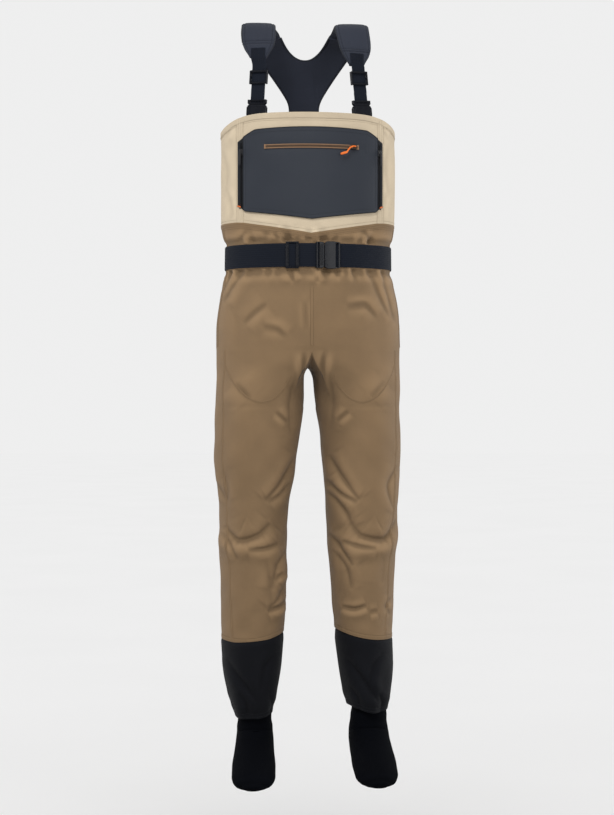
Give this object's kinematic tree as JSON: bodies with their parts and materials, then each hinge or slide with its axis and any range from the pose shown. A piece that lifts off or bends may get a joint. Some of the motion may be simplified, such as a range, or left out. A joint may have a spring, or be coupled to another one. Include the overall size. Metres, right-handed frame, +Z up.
{
  "type": "chest waders",
  "caption": "Stocking-foot chest waders with a padded shoulder harness, chest pocket, wading belt, gravel guards and neoprene socks.",
  "frame": {"origin": "midway between the shoulders, at the height of the flat undersides of the shoulder pads", "axes": "+X to the wearer's left, -Y to the front, +Z up"},
  "size_m": [0.3796, 0.2859, 1.5354],
  "materials": {
    "bib": "matte tan laminate",
    "shell": "matte brown laminate",
    "pocket": "smooth dark slate face fabric",
    "pad": "padded stretch knit",
    "webbing": "woven nylon webbing",
    "plastic": "satin moulded acetal",
    "guard": "matte black packcloth",
    "neoprene": "matte black knit-faced neoprene",
    "zip": "bronze coil zip",
    "zip_slider": "dark bronze metal",
    "cord_pull": "bright orange cord"
  },
  "bodies": {
    "shell": {"bib_front": "bib", "bib_side_left": "bib", "bib_back": "bib", "bib_side_right": "bib", "trouser_front": "shell", "trouser_back": "shell", "hip_band_left": "shell", "hip_band_right": "shell", "chest_pocket": "pocket", "center_zip_tape": "zip", "side_zip_tape_left": "webbing", "side_zip_tape_right": "webbing", "belt_webbing": "webbing", "belt_webbing_front": "webbing", "belt_buckle_socket": "plastic", "belt_loop_left": "webbing", "belt_loop_right": "webbing", "back_yoke": "pad", "shoulder_pad_left": "pad", "pad_webbing_left": "webbing", "strap_webbing_left": "webbing", "strap_buckle_socket_left": "plastic", "bib_tab_left": "webbing", "shoulder_pad_right": "pad", "pad_webbing_right": "webbing", "strap_webbing_right": "webbing", "strap_buckle_socket_right": "plastic", "bib_tab_right": "webbing"},
    "thigh_left": {"thigh_left": "shell", "knee_band_left": "shell"},
    "shin_left": {"shin_left": "shell", "gravel_guard_left": "guard", "sock_leg_left": "neoprene"},
    "foot_left": {"sock_foot_left": "neoprene"},
    "thigh_right": {"thigh_right": "shell", "knee_band_right": "shell"},
    "shin_right": {"shin_right": "shell", "gravel_guard_right": "guard", "sock_leg_right": "neoprene"},
    "foot_right": {"sock_foot_right": "neoprene"},
    "strap_adjuster_left": {"strap_adjuster_left": "plastic"},
    "strap_male_left": {"strap_buckle_male_left": "plastic"},
    "strap_prong_a_left": {"strap_buckle_prong_a_left": "plastic"},
    "strap_prong_b_left": {"strap_buckle_prong_b_left": "plastic"},
    "strap_adjuster_right": {"strap_adjuster_right": "plastic"},
    "strap_male_right": {"strap_buckle_male_right": "plastic"},
    "strap_prong_a_right": {"strap_buckle_prong_a_right": "plastic"},
    "strap_prong_b_right": {"strap_buckle_prong_b_right": "plastic"},
    "belt_slider": {"belt_slider": "plastic"},
    "belt_male": {"belt_buckle_male": "plastic"},
    "belt_prong_a": {"belt_buckle_prong_a": "plastic"},
    "belt_prong_b": {"belt_buckle_prong_b": "plastic"},
    "center_zip_slider": {"center_zip_slider": "zip_slider"},
    "center_zip_pull": {"center_zip_pull": "cord_pull"},
    "side_zip_slider_left": {"side_zip_left_slider": "plastic"},
    "side_zip_pull_left": {"side_zip_left_pull": "plastic"},
    "side_zip_slider_right": {"side_zip_right_slider": "plastic"},
    "side_zip_pull_right": {"side_zip_right_pull": "plastic"}
  },
  "joints": [
    {"name": "hip_flex_left", "type": "hinge", "parent": "shell", "child": "thigh_left", "pos_m": [0.1, 0, -0.75], "axis": [1, 0, 0], "range_deg": [-35, 15], "deforming": ["hip_band_left"]},
    {"name": "knee_flex_left", "type": "hinge", "parent": "thigh_left", "child": "shin_left", "pos_m": [0.112, 0, -1], "axis": [1, 0, 0], "range_deg": [0, 60], "deforming": ["knee_band_left"]},
    {"name": "ankle_flex_left", "type": "hinge", "parent": "shin_left", "child": "foot_left", "pos_m": [0.115, 0.008, -1.418], "axis": [1, 0, 0], "range_deg": [-20, 15], "stiffness_Nm_per_rad": 2, "deforming": ["sock_leg_left"]},
    {"name": "hip_flex_right", "type": "hinge", "parent": "shell", "child": "thigh_right", "pos_m": [-0.1, 0, -0.75], "axis": [1, 0, 0], "range_deg": [-35, 15], "deforming": ["hip_band_right"]},
    {"name": "knee_flex_right", "type": "hinge", "parent": "thigh_right", "child": "shin_right", "pos_m": [-0.112, 0, -1], "axis": [1, 0, 0], "range_deg": [0, 60], "deforming": ["knee_band_right"]},
    {"name": "ankle_flex_right", "type": "hinge", "parent": "shin_right", "child": "foot_right", "pos_m": [-0.115, 0.008, -1.418], "axis": [1, 0, 0], "range_deg": [-20, 15], "stiffness_Nm_per_rad": 2, "deforming": ["sock_leg_right"]},
    {"name": "strap_adjust_left", "type": "slide", "parent": "shell", "child": "strap_adjuster_left", "axis": [-0.0864, 0.0122, 0.9962], "range_m": [-0.025, 0]},
    {"name": "strap_release_left", "type": "slide", "parent": "shell", "child": "strap_male_left", "axis": [-0.0864, 0.0122, 0.9962], "range_m": [0, 0.02], "deforming": ["strap_webbing_left", "strap_buckle_prong_a_left", "strap_buckle_prong_b_left"]},
    {"name": "strap_prong_a_squeeze_left", "type": "hinge", "parent": "strap_male_left", "child": "strap_prong_a_left", "pos_m": [0.11232, -0.07123, -0.16691], "axis": [-0.4221, 0.9053, -0.0477], "range_deg": [0, 10], "stiffness_Nm_per_rad": 0.05},
    {"name": "strap_prong_b_squeeze_left", "type": "hinge", "parent": "strap_male_left", "child": "strap_prong_b_left", "pos_m": [0.09247, -0.08057, -0.16852], "axis": [-0.4221, 0.9053, -0.0477], "range_deg": [-10, 0], "stiffness_Nm_per_rad": 0.05},
    {"name": "strap_adjust_right", "type": "slide", "parent": "shell", "child": "strap_adjuster_right", "axis": [0.056, 0.0122, 0.9984], "range_m": [-0.025, 0]},
    {"name": "strap_release_right", "type": "slide", "parent": "shell", "child": "strap_male_right", "axis": [0.056, 0.0122, 0.9984], "range_m": [0, 0.02], "deforming": ["strap_webbing_right", "strap_buckle_prong_a_right", "strap_buckle_prong_b_right"]},
    {"name": "strap_prong_a_squeeze_right", "type": "hinge", "parent": "strap_male_right", "child": "strap_prong_a_right", "pos_m": [-0.0972, -0.08056, -0.16838], "axis": [0.4224, 0.9058, -0.0348], "range_deg": [0, 10], "stiffness_Nm_per_rad": 0.05},
    {"name": "strap_prong_b_squeeze_right", "type": "hinge", "parent": "strap_male_right", "child": "strap_prong_b_right", "pos_m": [-0.1171, -0.07125, -0.16738], "axis": [0.4224, 0.9058, -0.0348], "range_deg": [-10, 0], "stiffness_Nm_per_rad": 0.05},
    {"name": "belt_slider_slide", "type": "hinge", "parent": "shell", "child": "belt_slider", "pos_m": [0, 0.12229, -0.47], "axis": [0, 0, 1], "range_deg": [-14, 0]},
    {"name": "belt_release", "type": "slide", "parent": "shell", "child": "belt_male", "axis": [-0.9904, -0.1384, 0], "range_m": [0, 0.02], "deforming": ["belt_webbing_front", "belt_buckle_prong_a", "belt_buckle_prong_b"]},
    {"name": "belt_prong_a_squeeze", "type": "hinge", "parent": "belt_male", "child": "belt_prong_a", "pos_m": [0.02537, -0.10972, -0.4535], "axis": [-0.1384, 0.9904, 0], "range_deg": [0, 10], "stiffness_Nm_per_rad": 0.05},
    {"name": "belt_prong_b_squeeze", "type": "hinge", "parent": "belt_male", "child": "belt_prong_b", "pos_m": [0.02537, -0.10972, -0.4865], "axis": [-0.1384, 0.9904, 0], "range_deg": [-10, 0], "stiffness_Nm_per_rad": 0.05},
    {"name": "center_zip_run", "type": "hinge", "parent": "shell", "child": "center_zip_slider", "pos_m": [0, 0.13791, -0.254], "axis": [0, 0, 1], "range_deg": [-38, 0]},
    {"name": "center_zip_pull_flip", "type": "hinge", "parent": "center_zip_slider", "child": "center_zip_pull", "pos_m": [0.08617, -0.11032, -0.254], "axis": [0, 0, 1], "range_deg": [0, 170]},
    {"name": "side_zip_run_left", "type": "slide", "parent": "shell", "child": "side_zip_slider_left", "axis": [0, 0, 1], "range_m": [-0.095, 0]},
    {"name": "side_zip_pull_flip_left", "type": "hinge", "parent": "side_zip_slider_left", "child": "side_zip_pull_left", "pos_m": [0.14233, -0.07828, -0.262], "axis": [0.8351, 0.5501, 0], "range_deg": [-160, 0]},
    {"name": "side_zip_run_right", "type": "slide", "parent": "shell", "child": "side_zip_slider_right", "axis": [0, 0, 1], "range_m": [-0.095, 0]},
    {"name": "side_zip_pull_flip_right", "type": "hinge", "parent": "side_zip_slider_right", "child": "side_zip_pull_right", "pos_m": [-0.14233, -0.07828, -0.262], "axis": [0.8351, -0.5501, 0], "range_deg": [-160, 0]}
  ],
  "couplings": [
    {"joint": "strap_prong_b_squeeze_left", "follows": "strap_prong_a_squeeze_left", "ratio": -1},
    {"joint": "strap_prong_b_squeeze_right", "follows": "strap_prong_a_squeeze_right", "ratio": -1},
    {"joint": "belt_prong_b_squeeze", "follows": "belt_prong_a_squeeze", "ratio": -1}
  ]
}
